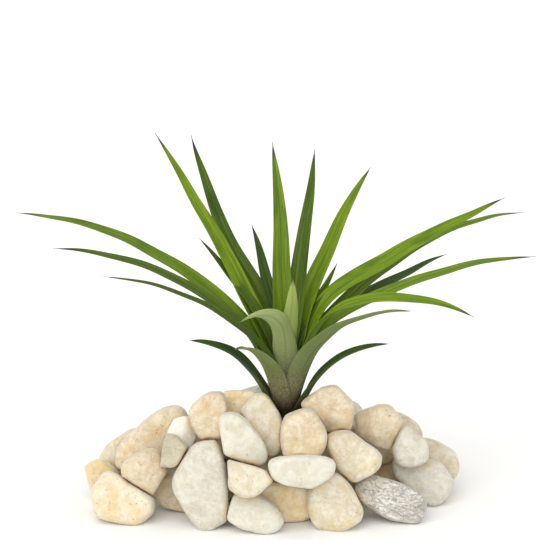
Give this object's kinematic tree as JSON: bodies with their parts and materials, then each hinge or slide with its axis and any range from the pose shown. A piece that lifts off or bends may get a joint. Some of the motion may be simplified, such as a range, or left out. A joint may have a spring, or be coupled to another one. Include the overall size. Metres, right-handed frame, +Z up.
{
  "type": "air plant on a pebble heap",
  "caption": "Air plant with a fountain-shaped rosette of narrow channelled leaves, held upright in a heap of water-worn pebbles that rests on a flat surface.",
  "frame": {"origin": "on the surface that the heap rests on, in the worn flat of the stone under the plant's stem", "axes": "+Z up; +X to the right along the heap's length, seen from its best side; -Y towards that side"},
  "size_m": [0.2274, 0.1393, 0.1538],
  "materials": {
    "leaf_green": "satin green upper face with fine lengthwise striations, greyer and scaly beneath",
    "leaf_pale": "matt grey-green, covered in fine scales",
    "stem": "dry, fibrous, dark brown",
    "stone_ivory": "water-worn, matt, finely pitted",
    "stone_cream": "water-worn, matt, finely pitted",
    "stone_straw": "water-worn, matt, finely pitted",
    "stone_honey": "water-worn, matt, finely pitted",
    "stone_tan": "water-worn, matt, finely pitted",
    "stone_ash": "water-worn, matt, finely pitted",
    "stone_slate": "water-worn, matt, finely pitted"
  },
  "bodies": {
    "root": {"stem": "stem", "leaf_01": "leaf_green", "leaf_02": "leaf_pale", "leaf_03": "leaf_green", "leaf_04": "leaf_green", "leaf_05": "leaf_green", "leaf_06": "leaf_green", "leaf_07": "leaf_green", "leaf_08": "leaf_green", "leaf_09": "leaf_green", "leaf_10": "leaf_green", "leaf_11": "leaf_green", "leaf_12": "leaf_green", "leaf_13": "leaf_pale", "leaf_14": "leaf_green", "leaf_15": "leaf_green", "leaf_16": "leaf_green", "leaf_17": "leaf_green", "leaf_18": "leaf_green", "leaf_19": "leaf_green", "leaf_20": "leaf_green", "leaf_21": "leaf_green", "leaf_22": "leaf_pale", "leaf_23": "leaf_green", "leaf_24": "leaf_green", "pebble_10": "stone_tan", "pebble_11": "stone_cream", "pebble_12": "stone_ivory", "pebble_13": "stone_ash", "pebble_14": "stone_cream", "pebble_15": "stone_ivory", "pebble_16": "stone_tan", "pebble_17": "stone_ivory", "pebble_18": "stone_tan", "pebble_19": "stone_tan", "pebble_20": "stone_cream", "pebble_21": "stone_tan", "pebble_22": "stone_ash", "pebble_23": "stone_cream", "pebble_24": "stone_ash", "pebble_25": "stone_slate", "pebble_26": "stone_cream", "pebble_27": "stone_honey", "pebble_28": "stone_cream", "pebble_29": "stone_ash", "pebble_30": "stone_tan", "pebble_31": "stone_straw", "pebble_32": "stone_ivory", "pebble_33": "stone_cream", "pebble_34": "stone_tan", "pebble_01": "stone_straw", "pebble_02": "stone_straw", "pebble_03": "stone_cream", "pebble_04": "stone_tan", "pebble_05": "stone_tan", "pebble_06": "stone_tan", "pebble_07": "stone_ash", "pebble_08": "stone_ivory", "pebble_09": "stone_tan", "pebble_core": "stone_tan"}
  },
  "joints": []
}
